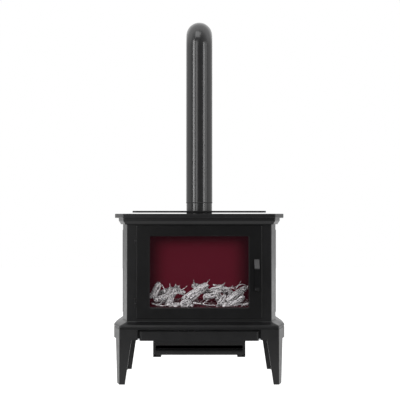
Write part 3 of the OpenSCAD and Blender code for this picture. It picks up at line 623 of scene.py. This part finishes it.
def bundle(bm, layer, start, end, r0, r1, seed, strands, ragged=0.2, steps=32, sides=16):
    """A weathered stick: splinters of different lengths bound round a core, along one axis.

    Ragged is the most that a splinter may stop short of either end, as a share of the length.
    """
    rng = random.Random(seed)
    ahead = end - start
    side, up = across(ahead.normalized())
    core = curved_spine(start + ahead * 0.03, end - ahead * 0.03, CORE_STEPS, 0, rng)
    radii = [CORE_SHARE * (r0 + (r1 - r0) * k / CORE_STEPS) for k in range(CORE_STEPS + 1)]
    limb(bm, layer, core, radii, CORE_SIDES, seed, ridge=0.5 * MM, splinter=3 * MM)
    turn0 = rng.uniform(0, math.pi)
    for n in range(strands):
        angle = turn0 + 2 * math.pi * (n + rng.uniform(-0.25, 0.25)) / strands
        thick = rng.uniform(0.2, 0.36)
        first, last = rng.uniform(0, ragged), 1 - rng.uniform(0, ragged)
        if n % 3 == 0:
            first, last = (0.0, last) if rng.random() < 0.5 else (first, 1.0)
        swirl = rng.uniform(0.2, 1.0) * TWIST
        lift = rng.uniform(0.56, 0.92)
        spine, radii = [], []
        for k in range(steps + 1):
            t = first + (last - first) * k / steps
            r = r0 + (r1 - r0) * t
            a = angle + swirl * t + 0.22 * noise.noise(Vector((t * 5, n * 3.1, seed)))
            out = r * (lift + 0.08 * noise.noise(Vector((t * 7, n * 5.3, seed + 9))))
            spine.append(start + ahead * t + side * (math.cos(a) * out) + up * (math.sin(a) * out))
            tip = min(1.0, 0.3 + 5 * min(k, steps - k) / steps)
            radii.append(r * thick * tip)
        limb(bm, layer, spine, radii, sides, seed * 31 + n, ridge=0.9 * MM, splinter=4 * MM)


def make_log(node, material, seed):
    """Replaces a CAD log by a weathered stick of its size."""
    start, end, r0, r1 = log_ends(node)
    bm = bmesh.new()
    layer = bm.verts.layers.float.new("grain")
    bundle(bm, layer, start, end, r0, r1, seed, strands=14 + seed % 5)
    piece = link(node + "_wood", mesh_from(bm, node, 70), "stove", material)
    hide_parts(node)


# Short pieces of the same wood that fill in round the logs: start, end, and the radius at each (mm).
OFFCUTS = [
    ((-158, -80, 280), (-116, -72, 296), 10, 9), ((-112, -94, 264), (-96, -86, 304), 11, 4),
    ((-108, -95, 264), (-66, -90, 268), 9, 8), ((-128, -70, 300), (-74, -62, 312), 8, 9),
    ((-66, -95, 264), (-30, -88, 284), 11, 12), ((-48, -96, 264), (-22, -94, 266), 9, 7),
    ((14, -74, 290), (62, -66, 300), 11, 10), ((40, -60, 316), (76, -56, 324), 7, 6),
    ((68, -95, 264), (90, -86, 302), 10, 6), ((78, -96, 264), (134, -90, 276), 11, 10),
    ((120, -94, 264), (158, -88, 296), 9, 10), ((62, -72, 316), (100, -64, 318), 8, 7),
    ((-92, -66, 318), (-50, -62, 304), 7, 8), ((112, -60, 296), (150, -60, 292), 9, 8),
    ((-178, -74, 290), (-160, -68, 304), 8, 7), ((146, -92, 264), (172, -90, 270), 6, 5),
]


def make_offcuts(material):
    """The short pieces, coarser than the logs because they are small."""
    bm = bmesh.new()
    layer = bm.verts.layers.float.new("grain")
    for n, (start, end, r0, r1) in enumerate(OFFCUTS):
        bundle(bm, layer, Vector(start) * MM, Vector(end) * MM, r0 * MM, r1 * MM, 40 + n,
               strands=11, ragged=0.25, steps=18, sides=11)
    link("offcuts", mesh_from(bm, "offcuts", 70), "stove", material)


# Sticks between and in front of the logs: start, end, radius at the root, and how far they bow (mm).
STICKS = [
    ((-120, -92, 308), (-131, -95, 340), 2.1, 2), ((-110, -92, 308), (-103, -95, 344), 2.2, 3),
    ((-96, -93, 306), (-82, -96, 340), 2.0, 2), ((-84, -93, 308), (-68, -95, 336), 1.8, 4),
    ((-160, -92, 306), (-148, -94, 344), 2.0, 3), ((-66, -93, 316), (-42, -95, 333), 1.8, 4),
    ((-99, -97, 264), (-86, -98, 299), 3.2, 2), ((-92, -97, 279), (-101, -98, 298), 2.2, 2),
    ((-12, -66, 336), (-20, -70, 352), 2.0, 2), ((26, -60, 336), (36, -64, 354), 2.0, 2),
    ((48, -94, 338), (96, -97, 327), 2.2, 7), ((96, -97, 327), (136, -94, 314), 1.8, 7),
    ((72, -96, 331), (90, -98, 344), 1.6, 3), ((104, -92, 320), (118, -95, 334), 1.5, 3),
    ((118, -88, 328), (146, -90, 350), 2.0, 7), ((128, -90, 324), (162, -92, 338), 1.6, 7),
    ((150, -94, 300), (171, -95, 334), 2.0, 4), ((158, -94, 310), (150, -96, 330), 1.5, 3),
    ((-167, -98, 274), (-116, -99, 265), 3.0, 4), ((-140, -98, 268), (-128, -99, 284), 2.0, 2),
    ((-22, -98, 276), (56, -99, 266), 3.2, 5), ((14, -98, 270), (30, -99, 284), 2.0, 2),
    ((140, -98, 268), (172, -99, 272), 2.6, 7), ((92, -98, 266), (128, -98, 276), 2.2, 4),
]


STICK_STEPS = 18
SPLINTERS = 60
SPLINTER_STEPS = 7
END_GAP = 0.012               # that the splinters keep from the bed's ends
FRONT_GAP = 0.006             # and from its front and rear
BED_DROP = 0.018              # of the bed's front edge, below the top of its CAD node
BED_RISE = 0.016              # of the bed, from its front edge to the screen


def make_twigs(material):
    """The listed sticks, and thin splinters strewn along the bed."""
    rng = random.Random(77)
    low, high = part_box("ember_bed")
    bm = bmesh.new()
    layer = bm.verts.layers.float.new("grain")
    for n, (start, end, thick, bend) in enumerate(STICKS):
        spine = curved_spine(Vector(start) * MM, Vector(end) * MM, STICK_STEPS, bend * MM, rng)
        for k, point in enumerate(spine):
            point += noise.noise_vector(Vector((k * 0.45, n * 3.7, 0))) * 1.6 * MM
            point.z = max(point.z, low.z)
        radii = [thick * MM * (1 - 0.6 * k / STICK_STEPS) for k in range(STICK_STEPS + 1)]
        limb(bm, layer, spine, radii, 10, 60 + n, ridge=0.35 * MM)
    for n in range(SPLINTERS):
        x = rng.uniform(low.x + END_GAP, high.x - END_GAP)
        y = rng.uniform(low.y + 0.01, high.y - 0.03)
        bed = high.z - BED_DROP + BED_RISE * (y - low.y) / (high.y - low.y)
        length = rng.uniform(0.015, 0.05)
        heading = rng.uniform(-0.9, 0.9)
        rise = rng.uniform(0.0, 0.3)
        way = Vector((math.cos(heading) * math.cos(rise), math.sin(heading) * math.cos(rise) * 0.5,
                      math.sin(rise)))
        start = Vector((x, y, bed + rng.uniform(0.001, 0.01)))
        end = start + way * length
        end.x = max(low.x + END_GAP, min(high.x - END_GAP, end.x))
        end.y = max(low.y + FRONT_GAP, min(high.y - FRONT_GAP, end.y))
        spine = curved_spine(start, end, SPLINTER_STEPS, rng.uniform(0.001, 0.005), rng)
        thick = rng.uniform(0.6, 1.7) * MM
        radii = [thick * (1 - 0.8 * k / SPLINTER_STEPS) for k in range(SPLINTER_STEPS + 1)]
        limb(bm, layer, spine, radii, 7, 100 + n, ridge=0.2 * MM)
    link("twigs", mesh_from(bm, "twigs", 70), "stove", material)


SEAL_SIDES = 96
SEAL_HALF = 1.6 * MM          # half its height
SEAL_BULGE = 0.6 * MM
SEAL_SUNK = 0.3 * MM          # how far the bulge starts inside the pipe's radius
SEAL_INNER = 1.2 * MM


def make_seal(material):
    """The soft black seal in the joint between the pipe and its collar."""
    low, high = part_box("flue_collar")
    pipe_low, pipe_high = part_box("flue_pipe")
    middle = Vector(((low.x + high.x) / 2, (low.y + high.y) / 2, pipe_low.z))
    radius = (pipe_high.x - pipe_low.x) / 2
    profile = []
    for k in range(7):
        turn = math.pi * k / 6 - math.pi / 2
        profile.append((SEAL_BULGE * math.cos(turn) - SEAL_SUNK, SEAL_HALF * math.sin(turn)))
    profile += [(-SEAL_INNER, SEAL_HALF), (-SEAL_INNER, -SEAL_HALF)]
    bm = bmesh.new()
    rings = []
    for k in range(SEAL_SIDES):
        turn = 2 * math.pi * k / SEAL_SIDES
        rings.append([bm.verts.new(middle + Vector(((radius + out) * math.cos(turn),
                                                    (radius + out) * math.sin(turn), rise)))
                      for out, rise in profile])
    for k, ring in enumerate(rings):
        ahead = rings[(k + 1) % SEAL_SIDES]
        for n in range(len(profile)):
            m = (n + 1) % len(profile)
            bm.faces.new((ring[n], ring[m], ahead[m], ahead[n]))
    link("pipe_seal", mesh_from(bm, "pipe_seal", 50), "stove", material)


EMBER_COLUMNS = 180
EMBER_ROWS = 60


def make_embers(material):
    """Replaces the ember bed by a tray of lumpy resin that rises towards the screen."""
    low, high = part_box("ember_bed")
    bm = bmesh.new()
    grid = []
    for j in range(EMBER_ROWS + 1):
        v = j / EMBER_ROWS
        y = low.y + (high.y - low.y) * v
        row = []
        for i in range(EMBER_COLUMNS + 1):
            x = low.x + (high.x - low.x) * i / EMBER_COLUMNS
            base = high.z - BED_DROP + BED_RISE * v
            cell = noise.voronoi(Vector((x * 60, y * 60, 0)))[0]
            lump = (0.5 - cell[0]) * 0.006 + noise.noise(Vector((x * 130, y * 130, 3))) * 0.0012
            row.append(bm.verts.new((x, y, min(base + lump, high.z))))
        grid.append(row)
    for below, above in zip(grid, grid[1:]):
        for i in range(EMBER_COLUMNS):
            bm.faces.new((below[i], below[i + 1], above[i + 1], above[i]))
    edge = grid[0] + [r[-1] for r in grid[1:]] + grid[-1][-2::-1] + [r[0] for r in grid[-2:0:-1]]
    skirt = [bm.verts.new((v.co.x, v.co.y, low.z)) for v in edge]
    for k in range(len(edge)):
        m = (k + 1) % len(edge)
        bm.faces.new((edge[k], skirt[k], skirt[m], edge[m]))
    piece = link("embers", mesh_from(bm, "embers", 50), "stove", material)
    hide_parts("ember_bed")


# ------------------------------------------------------------------ the whole
make_camera()
make_world()
make_stage()
make_lights()
bpy.context.scene.view_settings.view_transform = "Standard"
materials = make_materials()
dress_frame(materials)
for number, node in enumerate(LOGS):
    make_log(node, materials["log_grey"], number + 1)
make_offcuts(materials["log_grey"])
make_seal(materials["rubber_black"])
make_twigs(materials["log_grey"])
make_embers(materials["ember_red"])
